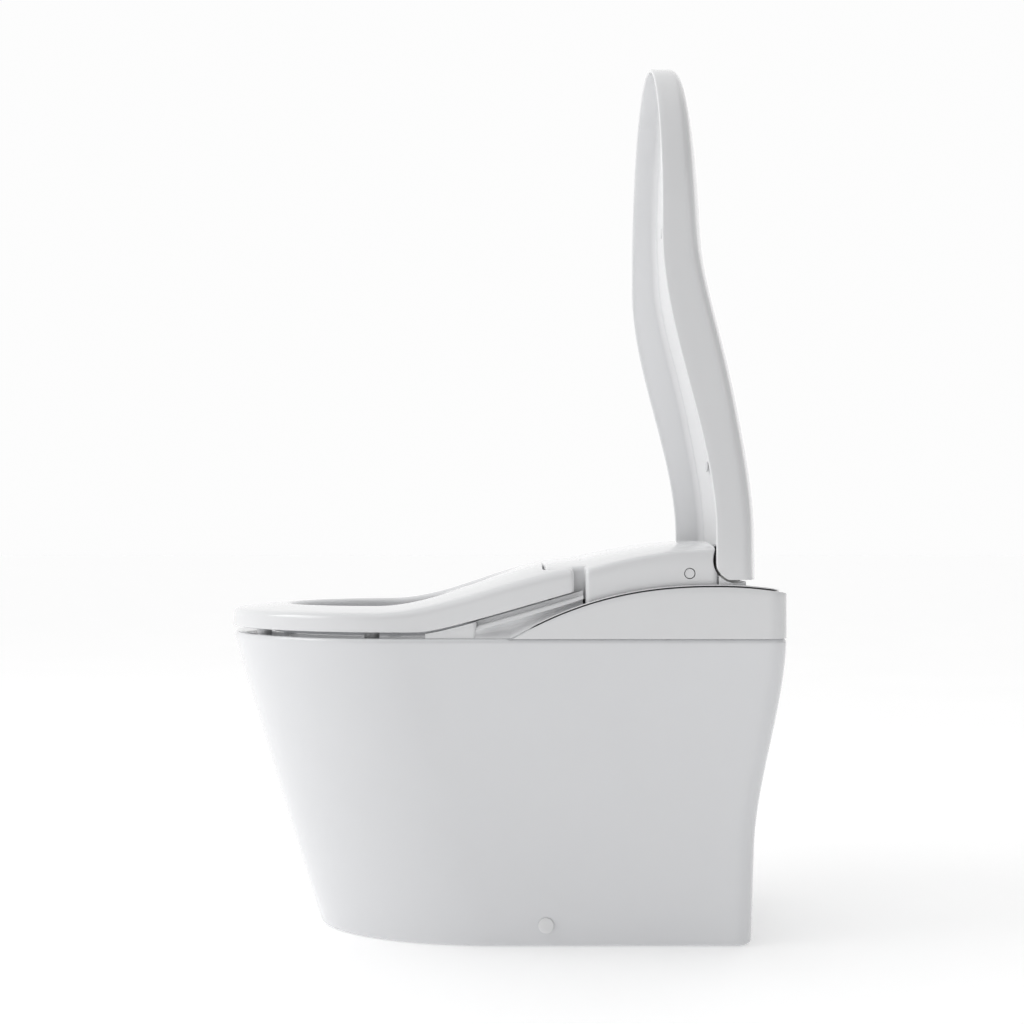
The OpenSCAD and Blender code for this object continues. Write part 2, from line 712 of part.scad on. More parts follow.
ceramic_pan();
floor_brackets();
side_screws();
side_screw_caps();
outlet_connector();
base_plate();
base_bolts();
housing();
side_scoops();
trim_strips();
top_cover();
hinge_cover();
front_panel();
nozzle_shutter();
nozzle_guide();
wash_nozzle();
nozzle_motor();
nozzle_pinion();
seat_top_shell();
seat_bottom_shell();
seat_heater();
seat_bumpers();
seat_hinge_arms();
seat_hinge_pins();
seat_drive();
lid_shell();
lid_liner();
lid_bumpers();
lid_hinge_lugs();
lid_shafts();
hinge_posts();
lid_drive();
water_heater();
wash_pump();
inlet_valve();
flush_valve();
flush_pipe();
flush_pump();
dryer_fan();
dryer_duct();
deodorizer_fan();
deodorizer_filter();
control_board();
power_supply();
side_button();
night_light();
cord_gland();
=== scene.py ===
"""Electric bidet seat on its toilet: surfaces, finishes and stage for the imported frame."""

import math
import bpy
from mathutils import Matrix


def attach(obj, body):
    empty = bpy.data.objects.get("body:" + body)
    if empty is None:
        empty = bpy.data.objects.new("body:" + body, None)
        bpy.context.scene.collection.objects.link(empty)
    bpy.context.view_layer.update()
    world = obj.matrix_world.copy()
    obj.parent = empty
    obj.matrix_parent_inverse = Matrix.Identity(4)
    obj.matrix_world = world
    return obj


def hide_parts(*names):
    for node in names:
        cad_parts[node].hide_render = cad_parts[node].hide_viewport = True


bl_info = {
    "name": "Bidet Seat Surfaces",
    "version": (1, 0, 0),
    "blender": (4, 5, 0),
    "location": "View3D > Sidebar > Bidet",
    "description": "Builds the glazed pan, seat, lid and housing surfaces over the CAD frame",
    "category": "Object",
}

import bmesh
import bpy
import numpy as np
from bpy.props import FloatProperty, FloatVectorProperty, PointerProperty
from mathutils import Vector

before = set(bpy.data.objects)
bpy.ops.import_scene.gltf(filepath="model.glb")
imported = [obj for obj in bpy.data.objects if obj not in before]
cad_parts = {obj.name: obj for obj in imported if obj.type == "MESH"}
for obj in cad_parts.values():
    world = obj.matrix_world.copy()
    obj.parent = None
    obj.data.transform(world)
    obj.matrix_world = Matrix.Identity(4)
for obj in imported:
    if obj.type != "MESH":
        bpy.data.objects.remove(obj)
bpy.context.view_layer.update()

# Sizes in mm, from the part's own design. X is to the right, Y to the back, Z up.
MM = 0.001
END = 345.5  # front and back of the toilet, from its middle
RIM = 380.0  # height of the pan's rim
PAN_WALL = 12.0
BOWL_MIDDLE = -112.0
OPENING = (108.0, 145.0, -125.0)  # seat opening: half width, half length, middle
COVER_HALF = 183.5
SEAT_HALF = 183.0
LID_HALF = 189.0
LID_TURN = 880.0  # height where the open lid's straight sides end
LID_AXIS = (283.0, 473.0)  # (Y, Z) of each axis along X
SEAT_AXIS = (86.0, 456.0)
BUTTON_AXIS = (228.0, 457.0)
SCREW_AXIS = (60.0, 28.0)
JOIN = 2e-6  # metres within which two points are one


# ---------------------------------------------------------------- number helpers
def ease(t):
    """3t^2 - 2t^3 on 0..1, flat outside."""
    t = np.clip(t, 0.0, 1.0)
    return t * t * (3.0 - 2.0 * t)


def smooth_curve(xs, ys, x):
    """Cubic through the points (xs, ys), each slope the mean of its two neighbours' slopes."""
    xs, ys, x = np.asarray(xs, float), np.asarray(ys, float), np.asarray(x, float)
    slopes = np.gradient(ys, xs)
    k = np.clip(np.searchsorted(xs, x) - 1, 0, len(xs) - 2)
    h = xs[k + 1] - xs[k]
    t = np.clip((x - xs[k]) / h, 0.0, 1.0)
    a, b = 2 * t**3 - 3 * t**2 + 1, t**3 - 2 * t**2 + t
    c, d = -2 * t**3 + 3 * t**2, t**3 - t**2
    return a * ys[k] + b * h * slopes[k] + c * ys[k + 1] + d * h * slopes[k + 1]


def quarter(radius, count=7):
    """Steps round a quarter circle: (inset, drop) from (0, radius) at the wall to (radius, 0)."""
    t = np.linspace(0.0, math.pi / 2, count)
    return list(zip(radius * (1 - np.cos(t)), radius * (1 - np.sin(t))))


# ---------------------------------------------------------------- forms of the object, in mm
def d_outline(half, front, nose, rear, corner):
    """Level outline: x = half cos t, y = front + nose + nose sin t round the front,
    then straight sides and a rear with round corners, from the -X side through the front."""
    mid, corner = front + nose, max(corner, 0.3)
    t = np.linspace(math.pi, 2 * math.pi, 181)[:-1]
    q = np.linspace(0.0, math.pi / 2, 11)
    side = np.linspace(mid, rear - corner, 61)[:-1]
    back = np.linspace(half - corner, corner - half, 71)[1:-1]
    x = [half * np.cos(t), np.full(60, half), half - corner + corner * np.cos(q), back,
         corner - half - corner * np.sin(q), np.full(60, -half)]
    y = [mid + nose * np.sin(t), side, rear - corner + corner * np.sin(q), np.full(69, rear),
         rear - corner + corner * np.cos(q), side[::-1] + (side[1] - side[0])]
    return np.stack([np.concatenate(x), np.concatenate(y)], axis=1)


def deck(y):
    """Height of the housing's side line: a long rising arc, highest at y = 262."""
    y = np.asarray(y, float)
    fall = 62.3 * (np.clip(262.0 - y, 0, None) / 245.0) ** 2.33
    return 443.2 - fall - 66.0 * (np.clip(y - 262.0, 0, None) / 245.0) ** 2


def crease(y):
    """Height of the seat's outer edge: 408.5 rising by 55 towards the hinge."""
    return 408.5 + 55.0 * ease((np.asarray(y) + 150.0) / 280.0)


def seat_under(y):
    """Underside of the seat: level in front, then 0.3 s^2 / (s + 30) with s = y + 95."""
    s = np.clip(np.asarray(y) + 95.0, 0, None)
    return 387.0 + 0.3 * s * s / (s + 30.0)


def seat_top(x, y):
    """Seat top: the crease plus a crown times 1 - e^4, e the share of the way out."""
    e = np.hypot(x / SEAT_HALF, np.minimum(0.0, y + 117.5) / 228.0)
    return crease(y) + (8.0 + 6.5 * ease((y + 150.0) / 200.0)) * (1 - np.minimum(1.0, e) ** 4)


def cover_side(y):
    """Height of the rear cover's side edge."""
    rise = 459.5 + 25.0 * (1 - (1 - (y - 103.0) / 157.0) ** 2)
    return np.where(y < 103.0, 459.5 - 0.12 * (103.0 - y), rise)


def cover_top(x, y):
    """Rear cover: its side height plus a crown times 1 - e^4, e the share of the way out."""
    crown = 14.5 - 3.5 * ease((y - 58.0) / 130.0)
    return cover_side(y) + crown * (1 - np.minimum(1.0, np.abs(x) / COVER_HALF) ** 4)


def lid_front(z):
    """Front edge of the standing lid: leans forward by 64 between z = 500 and 860."""
    return 258.6 - 64.0 * ease((z - 500.0) / 360.0)


def lid_depth(z):
    """Depth of the lid's side wall, fullest near z = 735."""
    return 39.0 - 5.0 * (z - 510.0) / 440.0 + 10.5 * np.exp(-(((z - 735.0) / 120.0) ** 2))


def lid_back(x, z):
    """Back of the lid: wall depth plus a crown of 20 times 1 - e^4."""
    e = np.hypot(x / LID_HALF, np.clip(z - LID_TURN, 0, None) / 228.0)
    return lid_front(z) + lid_depth(z) + 20.0 * (1 - np.minimum(1.0, e) ** 4)


# ---------------------------------------------------------------- mesh makers
def quads(rows, cols, wrap_rows=False, wrap_cols=False):
    """Quad corners of a rows x cols grid, joined round where it wraps."""
    r = np.arange(rows if wrap_rows else rows - 1)[:, None]
    c = np.arange(cols if wrap_cols else cols - 1)[None, :]
    r2, c2 = (r + 1) % rows, (c + 1) % cols
    return np.stack([r * cols + c, r * cols + c2, r2 * cols + c2, r2 * cols + c], -1).reshape(-1, 4)


def new_piece(name, points, faces):
    """Mesh object from an array of points in mm and a list of faces."""
    mesh = bpy.data.meshes.new(name)
    mesh.from_pydata(np.asarray(points, float).reshape(-1, 3) * MM, [], list(faces))
    piece = bpy.data.objects.new(name, mesh)
    bpy.context.scene.collection.objects.link(piece)
    return piece


def heal(piece):
    """Merges doubled points, drops empty faces and turns the rest outward."""
    bm = bmesh.new()
    bm.from_mesh(piece.data)
    bmesh.ops.remove_doubles(bm, verts=bm.verts, dist=JOIN)
    bmesh.ops.dissolve_degenerate(bm, dist=JOIN, edges=bm.edges)
    bmesh.ops.recalc_face_normals(bm, faces=bm.faces)
    if bm.calc_volume(signed=True) < 0:
        bmesh.ops.reverse_faces(bm, faces=bm.faces)
    bm.to_mesh(piece.data)
    bm.free()
    return piece


def ring_piece(name, rings, wrap_rows=False, ends=False):
    """Closed rings of equal count, skinned in order; ends closes the first and last ring."""
    rings = np.asarray(rings, float)
    rows, cols = rings.shape[:2]
    faces = quads(rows, cols, wrap_rows, True).tolist()
    if ends:
        faces += [list(range(cols))[::-1], list(range((rows - 1) * cols, rows * cols))]
    return heal(new_piece(name, rings, faces))


def bake_modifiers(piece):
    """Replaces the mesh by the result of its modifiers."""
    graph = bpy.context.evaluated_depsgraph_get()
    mesh = bpy.data.meshes.new_from_object(piece.evaluated_get(graph))
    piece.modifiers.clear()
    old, piece.data = piece.data, mesh
    bpy.data.meshes.remove(old)


def cut(piece, *cutters, operation="DIFFERENCE"):
    """Takes the cutters' volumes off the piece, or keeps only what is inside them."""
    for cutter in cutters:
        m = piece.modifiers.new("Cut", "BOOLEAN")
        m.operation, m.solver, m.object = operation, "MANIFOLD", cutter
    bake_modifiers(piece)
    for cutter in cutters:
        bpy.data.objects.remove(cutter)
    if len(piece.data.vertices) < 8:
        raise RuntimeError(f"{piece.name}: a cut left nothing")
    return piece


def box(lo, hi):
    """Closed block between two corners."""
    lo, hi = np.array(lo, float), np.array(hi, float)
    p = np.array([[i, j, k] for k in (0, 1) for j in (0, 1) for i in (0, 1)]) * (hi - lo) + lo
    f = [[0, 2, 3, 1], [4, 5, 7, 6], [0, 1, 5, 4], [2, 6, 7, 3], [0, 4, 6, 2], [1, 3, 7, 5]]
    return new_piece("tool", p, f)


def round_angles(count):
    """Even angles once round."""
    return np.linspace(0, 2 * math.pi, count, endpoint=False)


def turned_x(name, axis, profile, count=72, ends=False):
    """Profile of (x, radius) turned about the X direction through the axis (y, z)."""
    t = round_angles(count)
    rings = [np.column_stack([np.full(count, x), axis[0] + r * np.cos(t), axis[1] + r * np.sin(t)])
             for x, r in profile]
    return ring_piece(name, rings, ends=ends)


def rod_x(axis, radius, x0, x1, count=64):
    """Round rod along X about the axis (y, z)."""
    return turned_x("tool", axis, [(x0, radius), (x1, radius)], count, ends=True)


def rod_y(x, z, radius, y0, y1, count=48):
    """Round rod along Y."""
    t = round_angles(count)
    rings = [np.column_stack([x + radius * np.cos(t), np.full(count, y), z + radius * np.sin(t)])
             for y in (y0, y1)]
    return ring_piece("tool", rings, ends=True)


def close_ring(loop, y_mid, shares):
    """Copies of a closed loop of (x, y), drawn in towards (0, y_mid) by each share."""
    mid = np.array([0.0, y_mid])
    return [mid + (loop - mid) * s for s in shares]


def finish_piece(piece, body, slot, nodes=(), sharp=38.0):
    """Smooth shading with creases over the sharp angle, then body, slot and replaced nodes."""
    piece.data.shade_smooth()
    piece.data.set_sharp_from_angle(angle=math.radians(sharp))
    piece.data.materials.clear()
    piece.data.materials.append(finish_for(slot))
    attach(piece, body)
    if nodes:
        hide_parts(*nodes)
    return piece


# ---------------------------------------------------------------- finishes
class Wire:
    """A socket's value in a sum: operators add the Math nodes."""

    def __init__(self, finish, socket):
        self.finish, self.socket = finish, socket

    def _math(self, operation, other):
        return self.finish.node("Math", {"operation": operation}, {0: self, 1: other})

    def __add__(self, other):
        return self._math("ADD", other)

    def __mul__(self, other):
        return self._math("MULTIPLY", other)


class Finish:
    """A material built up around one Principled shader."""

    def __init__(self, name, base, rough, **fixed):
        self.material = bpy.data.materials.new(name)
        self.material.use_nodes = True
        self.tree = self.material.node_tree
        self.shader = next(n for n in self.tree.nodes if n.type == "BSDF_PRINCIPLED")
        self.set("Base Color", (*base, 1.0))
        self.set("Roughness", rough)
        for socket, value in fixed.items():
            self.set(socket.replace("_", " "), value)
        self.place = self.node("TexCoord", {}, {}, "Object")

    def _feed(self, socket, value):
        if isinstance(value, Wire):
            self.tree.links.new(value.socket, socket)
        else:
            socket.default_value = value

    def set(self, socket, value):
        self._feed(self.shader.inputs[socket], value)

    def node(self, kind, settings, values, out=0):
        """Adds a node: settings first, then the values or links of its sockets."""
        made = self.tree.nodes.new("ShaderNode" + kind)
        stops = settings.pop("stops", None)
        for key, value in settings.items():
            setattr(made, key, value)
        if stops:
            ramp = made.color_ramp.elements
            while len(ramp) < len(stops):
                ramp.new(0.5)
            for element, (at, colour) in zip(ramp, stops):
                element.position, element.color = at, (*colour, 1.0)
        for key, value in values.items():
            self._feed(made.inputs[key], value)
        return Wire(self, made.outputs[out])

    def noise(self, scale, detail=2.0, stretch=None):
        """Cloudy share, its pattern squeezed along each axis by stretch."""
        at = self.place if stretch is None else self.node(
            "Mapping", {}, {"Vector": self.place, "Scale": stretch})
        return self.node("TexNoise", {}, {"Vector": at, "Scale": scale, "Detail": detail})

    def cells(self, scale, feature="F1"):
        """Distance to the nearest cell's middle, or to the edge between cells."""
        return self.node("TexVoronoi", {"feature": feature},
                         {"Vector": self.place, "Scale": scale})

    def between(self, share, low, high, a, b):
        """Colour a where share is at low, b where it is at high."""
        return self.node("ValToRGB", {"stops": [(low, a), (high, b)]}, {"Fac": share})

    def spread(self, share, low, high):
        """A number from low to high as share goes 0.3 to 0.7."""
        return self.node("MapRange", {"clamp": True}, {"Value": share, "From Min": 0.3,
                                                       "From Max": 0.7, "To Min": low,
                                                       "To Max": high})

    def bump(self, height, distance, strength):
        """Surface relief, distance in metres."""
        self.set("Normal", self.node("Bump", {}, {"Height": height, "Distance": distance,
                                                  "Strength": strength}))


def scaled(colour, k):
    """The colour, darker by the factor k."""
    return tuple(c * k for c in colour)


def glaze(look):
    """Fired white glaze: deep gloss, slow waviness and the faintest clouding."""
    f = Finish("glaze", look.glaze, 0.1, Coat_Weight=0.6, Coat_Roughness=0.04, IOR=1.52)
    cloud, wave = f.noise(9.0, 3.0), f.noise(16.0, 1.0)
    f.set("Base Color", f.between(cloud, 0.3, 0.7, scaled(look.glaze, 0.985), look.glaze))
    f.set("Roughness", f.spread(f.noise(40.0), 0.07, 0.13))
    f.bump(wave + f.noise(420.0, 1.0) * 0.02, 0.0012, 0.35)
    return f


def moulded(name, colour, low, high, grain, depth, **fixed):
    """Moulded plastic: slight flow variation in tone, gloss that varies, fine skin grain."""
    f = Finish(name, colour, low, **fixed)
    flow = f.noise(7.0, 2.0, (1.0, 1.0, 0.4))
    f.set("Base Color", f.between(flow, 0.3, 0.7, scaled(colour, 0.98), colour))
    f.set("Roughness", f.spread(f.noise(55.0, 3.0), low, high))
    f.bump(f.noise(grain, 2.0) + f.noise(20.0, 1.0) * 3.0, depth, 0.25)
    return f


def metal(name, colour, low, high, stretch, depth, dark=0.8):
    """Metal with drawn marks along one direction and small stains."""
    f = Finish(name, colour, low, Metallic=1.0)
    lines = f.noise(900.0, 2.0, stretch)
    f.set("Base Color", f.between(f.noise(60.0, 4.0), 0.3, 0.7, scaled(colour, dark), colour))
    f.set("Roughness", f.spread(lines, low, high))
    f.bump(lines, depth, 0.3)
    return f


def circuit(look):
    """Green board with copper tracks between pads."""
    f = Finish("board_green", (0.02, 0.16, 0.06), 0.35)
    track = f.cells(240.0, "DISTANCE_TO_EDGE")
    f.set("Base Color", f.between(track, 0.02, 0.06, (0.5, 0.34, 0.12), (0.015, 0.14, 0.05)))
    f.set("Roughness", f.spread(f.noise(80.0), 0.25, 0.45))
    f.bump(track, 0.0002, 0.5)
    return f


def foil(look):
    """Crumpled heater foil."""
    f = Finish("heater_foil", (0.8, 0.5, 0.25), 0.3, Metallic=0.9)
    crumple = f.cells(90.0)
    f.set("Base Color", f.between(crumple, 0.1, 0.8, (0.85, 0.55, 0.3), (0.6, 0.36, 0.18)))
    f.set("Roughness", f.spread(f.noise(120.0), 0.22, 0.4))
    f.bump(crumple, 0.0006, 0.6)
    return f


def charcoal(look):
    """Filter block: open cells over black carbon, with painted shade darkest in each pore's hollow.
    """
    f = Finish("filter_black", (0.02, 0.02, 0.022), 0.8)
    pores = f.cells(420.0)
    # Painted shade: the colour darkens towards each pore's middle, where the bump sinks it into a
    # hollow.
    f.set("Base Color", f.between(pores, 0.1, 0.6, (0.006, 0.006, 0.007), (0.05, 0.05, 0.052)))
    f.set("Roughness", f.spread(pores, 0.7, 0.95))
    f.bump(pores, 0.0009, 0.8)
    return f


def lens(look):
    """Frosted lamp window, faintly lit."""
    f = Finish("lamp_lens", (0.75, 0.85, 0.95), 0.35, Emission_Strength=0.25)
    frost = f.noise(700.0, 2.0)
    f.set("Base Color", f.between(frost, 0.3, 0.7, (0.68, 0.8, 0.92), (0.8, 0.88, 0.96)))
    f.set("Emission Color", f.between(frost, 0.3, 0.7, (0.5, 0.7, 1.0), (0.7, 0.85, 1.0)))
    f.bump(frost, 0.0002, 0.5)
    return f


FINISH_MAKERS = {
    "glaze": glaze,
    "white_shell": lambda k: moulded("white_shell", k.shell, 0.09, 0.16, 900.0, 0.00012,
                                     Coat_Weight=0.4, Coat_Roughness=0.05),
    "white_satin": lambda k: moulded("white_satin", k.satin, 0.28, 0.42, 1400.0, 0.0002),
    "bright_trim": lambda k: metal("bright_trim", k.trim, 0.05, 0.14, (1.0, 0.06, 1.0), 0.00004,
                                   0.95),
    "steel": lambda k: metal("steel", (0.6, 0.6, 0.61), 0.2, 0.4, (0.08, 1.0, 1.0), 0.0001),
    "works_white": lambda k: moulded("works_white", (0.62, 0.62, 0.6), 0.35, 0.55, 1200.0, 0.0003),
    "soft_pad": lambda k: moulded("soft_pad", (0.72, 0.725, 0.735), 0.5, 0.7, 700.0, 0.0004),
    "seal_rubber": lambda k: moulded("seal_rubber", (0.03, 0.03, 0.032), 0.6, 0.8, 800.0, 0.0004),
    "valve_brass": lambda k: metal("valve_brass", (0.78, 0.58, 0.28), 0.2, 0.38, (1.0, 1.0, 0.1),
                                   0.0001, 0.7),
    "board_green": circuit,
    "heater_foil": foil,
    "filter_black": charcoal,
    "lamp_lens": lens,
    "dark_plastic": lambda k: moulded("dark_plastic", (0.045, 0.047, 0.05), 0.4, 0.6, 1500.0,
                                      0.0003),
}
FINISHES = {}


def finish_for(slot):
    """The finish of a slot, made the first time it is asked for."""
    if slot not in FINISHES:
        FINISHES[slot] = FINISH_MAKERS[slot](bpy.context.scene.bidet_looks).material
    return FINISHES[slot]


# ---------------------------------------------------------------- toilet pan
def pan_ring(z, inset):
    """Outline of the pan's side at height z, drawn in by inset: foot 260 wide, rim 380."""
    up = z / RIM
    loop = d_outline(130.0 + 60.0 * up - inset, -END + 113.0 * (1 - up**0.95) + inset,
                     235.0 - 7.0 * up - inset,
                     END - 31.0 * (1 - float(ease((z - 120.0) / 260.0))) - inset,
                     25.0 - min(inset, 20.0))
    return np.column_stack([loop, np.full(len(loop), z)])


# Rows of the bowl: height, half width, half length, middle.
BOWL = np.array([
    [104, 30, 34, -34], [112, 40, 44, -38], [130, 50, 58, -46], [160, 64, 82, -62],
    [200, 84, 112, -80], [250, 108, 144, -96], [300, 125, 166, -107], [345, 133.5, 177, -112],
    [372, 134.5, 180, -112]], float)


def bowl_ring(angles, z, grow=0.0, shrink=1.0):
    """Ellipse of the bowl at height z, its half axes and middle read off smooth curves."""
    a, b, mid = (float(smooth_curve(BOWL[:, 0], BOWL[:, k], z)) for k in (1, 2, 3))
    return np.column_stack([(a + grow) * shrink * np.cos(angles),
                            mid + (b + grow) * shrink * np.sin(angles),
                            np.full(len(angles), z)])


def blend_rings(first, last, count):
    """Rings between two, evenly."""
    return [first + (last - first) * s for s in np.linspace(0, 1, count + 2)[1:-1]]


def tube(path, radius, count=48):
    """Round tool about X = 0 along (y, z) points, square to the path everywhere."""
    path = np.asarray(path, float)
    along = np.gradient(path, axis=0)
    along /= np.linalg.norm(along, axis=1)[:, None]
    t = round_angles(count)
    rings = np.stack([np.broadcast_to(radius * np.cos(t), (len(path), count)),
                      path[:, :1] - radius * np.sin(t) * along[:, 1:],
                      path[:, 1:] + radius * np.sin(t) * along[:, :1]], -1)
    return ring_piece("tool", rings, ends=True)


def trap_path():
    """Trap centre line: up over the weir, then down to the floor outlet."""
    y = [-30, 0, 30, 60, 84, 104, 128, 156, 182, 198, 205, 205, 205]
    z = [128, 118, 116, 128, 152, 178, 196, 200, 188, 164, 130, 80, 24]
    k, at = np.arange(len(y)), np.linspace(0, len(y) - 1, 72)
    return np.column_stack([smooth_curve(k, y, at), smooth_curve(k, z, at)])


def build_pan():
    """Glazed pan: skirt, rim, bowl and inside walls as one closed skin, plus well and trap."""
    rim = pan_ring(RIM, 6.0)
    angles = np.arctan2((rim[:, 1] - BOWL_MIDDLE) / 180.0, rim[:, 0] / 134.0)
    rings = [pan_ring(0.0, 12.0)]
    rings += [pan_ring(lift, inset) for inset, lift in quarter(5.0)[::-1]]
    rings += [pan_ring(z, 0.0) for z in np.linspace(5, 374, 44)[1:-1]]
    rings += [pan_ring(RIM - drop, inset) for inset, drop in quarter(6.0, 9)]
    edge = bowl_ring(angles, 372.0, 4.0)
    edge[:, 2] = RIM
    rings += blend_rings(rim, edge, 6) + [edge]
    for grow, drop in quarter(4.0)[::-1][1:]:
        ring = bowl_ring(angles, 372.0, grow)
        ring[:, 2] = RIM - drop
        rings.append(ring)
    rings += [bowl_ring(angles, z) for z in np.linspace(372, 108, 34)]
    rings += [bowl_ring(angles, 104.0 - k, 0.0, s) for k, s in [(0, 1), (1, 0.8), (1.6, 0.45),
                                                                (1.7, 0.0)]]
    rings += [bowl_ring(angles, 92.0, PAN_WALL, s) for s in (0.0, 0.5, 0.85)]
    rings += [bowl_ring(angles, z, PAN_WALL) for z in np.linspace(104, 368, 18)]
    under, roof = bowl_ring(angles, 368.0, PAN_WALL), pan_ring(368.0, PAN_WALL)
    rings += blend_rings(under, roof, 5) + [roof]
    rings += [pan_ring(z, PAN_WALL) for z in np.linspace(368, 0, 16)[1:-1]]
    pan = ring_piece("pan_glazed", rings, wrap_rows=True)
    body = [pan_ring(z, 3.0) for z in (100, 200, 240, 260, 280, 300, 330, 380)]
    tray = cut(box([-162, 93, 250], [162, 330, 379]), ring_piece("tool", body, ends=True),
               operation="INTERSECT")
    cut(pan, tray, tube(trap_path(), 36.0), operation="UNION")
    cut(pan, box([-150, 105, 262], [150, 318, 400]), tube(trap_path(), 27.0),
        rod_x(SCREW_AXIS, 6.0, -150, -100), rod_x(SCREW_AXIS, 6.0, 100, 150))
    cut(pan, tube(np.column_stack([np.full(4, 205.0), np.linspace(29, -2, 4)]), 31.0))
    return finish_piece(pan, "unit", "glaze", ["ceramic_pan"])


def build_caps():
    """Low side caps: a domed flange on a short barrel."""
    profile = [(129.0, 0), (129.0, 5.6), (134.9, 5.9), (135.0, 9.2), (135.4, 9.5), (136.6, 9.5),
               (137.15, 9.2), (137.45, 8.4), (137.58, 6.0), (137.6, 0)]
    made = [turned_x("side_cap_" + tag, SCREW_AXIS, [(side * x, r) for x, r in profile])
            for tag, side in (("left", -1), ("right", 1))]
    finish_piece(made[0], "unit", "white_satin", ["side_screw_caps"])
    return made + [finish_piece(made[1], "unit", "white_satin")]


# ---------------------------------------------------------------- housing and trim
def slug(name, half, front, rear, corner, floor, drop, lip=0.0):
    """Closed block with straight sides and round rear corners; its top lies drop below
    the deck line, with its edge rounded by lip."""
    def loop(inset):
        side = np.linspace(front + inset, rear - corner, 141)
        q = np.linspace(0, math.pi / 2, 13)[1:]
        h, c = half - inset, corner - inset
        back = np.linspace(h - c, c - h, 81)[1:]
        across = np.linspace(-h, h, 61)[1:-1]
        x = [across, np.full(141, h), h - c + c * np.cos(q), back, c - h - c * np.sin(q),
             np.full(140, -h)]
        y = [np.full(59, front + inset), side, rear - corner + c * np.sin(q),
             np.full(80, rear - inset), rear - corner + c * np.cos(q), side[-2::-1]]
        return np.stack([np.concatenate(x), np.concatenate(y)], 1)

    def raised(points, share=1.0, fall=0.0):
        top = np.maximum(deck(points[:, 1]) - drop - fall, floor + 0.05)
        return np.column_stack([points, floor + (top - floor) * share])

    outer = loop(0.0)
    rings = [raised(outer, s, lip) for s in np.linspace(0, 1, 9)]
    if lip:
        rings += [raised(loop(i), 1.0, d) for i, d in quarter(lip, 6)[1:]]
    rings += [raised(p) for p in close_ring(loop(lip), 180.0, np.linspace(0.985, 0.0, 30))]
    rings.insert(0, np.column_stack([outer * 0 + [0.0, 180.0], np.full(len(outer), floor)]))
    return ring_piece(name, rings)


def build_housing():
    """Housing behind the seat: thin walls up to a shadow gap below the bead, and a rear deck."""
    housing = slug("rear_housing", 189.5, 12.0, 345.5, 25.0, 380.0, 2.2, 0.8)
    cut(housing, slug("tool", 185.5, 8.0, 341.5, 21.0, 379.0, 7.0),
        box([-185.5, 0, 379], [185.5, 263, 500]), box([-142, 262.5, 430], [142, 300, 460]),
        box([-191, 203, 395], [-180, 247, 432]),
        rod_y(-60, 400, 11.0, 330, 350), rod_y(60, 405, 13.0, 330, 350))
    return finish_piece(housing, "unit", "white_shell", ["housing"])


def lip_line(name, across, up, inset, rise):
    """Bead on the housing's lip: an ellipse carried along it, inset from its face and
    raised from the deck line, its ends tapered."""
    y = np.linspace(40, 320.5, 150)
    q = np.linspace(0, math.radians(33), 9)[1:]
    r = 25.0 - inset
    path = np.column_stack([np.concatenate([np.full(150, 164.5 + r), 164.5 + r * np.cos(q)]),
                            np.concatenate([y, 320.5 + r * np.sin(q)])])
    out = np.concatenate([np.zeros(150), q])[:, None]
    t, k = round_angles(16), np.arange(len(path))
    share = np.minimum(1.0, 0.15 + np.minimum(k, k[::-1]) / 7.0)[:, None]
    w, h = across * np.cos(t) * share, up * np.sin(t) * share
    rings = np.stack([path[:, :1] + w * np.cos(out), path[:, 1:] + w * np.sin(out),
                      deck(path[:, 1])[:, None] + rise + h], -1)
    return [ring_piece(name + tag, rings * [side, 1, 1], ends=True)
            for tag, side in (("_left", -1), ("_right", 1))]


def build_trim():
    """Bright bead 2.5 x 1.6 on the lip, over a dark strip of painted shade in the gap below it."""
    beads = lip_line("trim_bead", 1.25, 0.8, 1.35, 0.2)
    # Dark strip under the bead: painted shade that darkens the gap, not a real seal.
    shade_strips = lip_line("trim_painted_shade", 1.3, 1.1, 2.2, -1.3)
    finish_piece(beads[0], "unit", "bright_trim", ["trim_strips"], 60.0)
    finish_piece(beads[1], "unit", "bright_trim", [], 60.0)
    # The strips of painted shade take the dark rubber finish only for its colour.
    return [finish_piece(shade_strip, "unit", "seal_rubber", [], 60.0) for shade_strip in shade_strips] + beads


def grid(xs, y, zs):
    """Rings square to Y: at each y one row of the (x, z) columns, numbers or arrays over y."""
    level = [[np.broadcast_to(v, y.shape) for v in side] for side in (xs, zs)]
    return np.stack([np.stack(level[0], 1), np.repeat(y[:, None], len(xs), 1),
                     np.stack(level[1], 1)], -1)


def wedge_rings():
    """Wedge under the seat's edge, its front end rounded in plan by 4.5, its top edge by 3."""
    y = np.concatenate([np.linspace(-84, -30, 28), np.linspace(-29, -23.5, 12)])
    top, base = seat_under(y) - 2.0, 380.2
    outer = 184.3 - (4.5 - np.sqrt(4.5**2 - np.clip(y + 28.0, 0, 4.5) ** 2))
    edge = quarter(3.0)[::-1]
    return grid([170.0, 170.0] + [outer - i for i, _ in edge] + [outer, outer], y,
                [base, top] + [top - d for _, d in edge] + [(top + base) / 2, base])


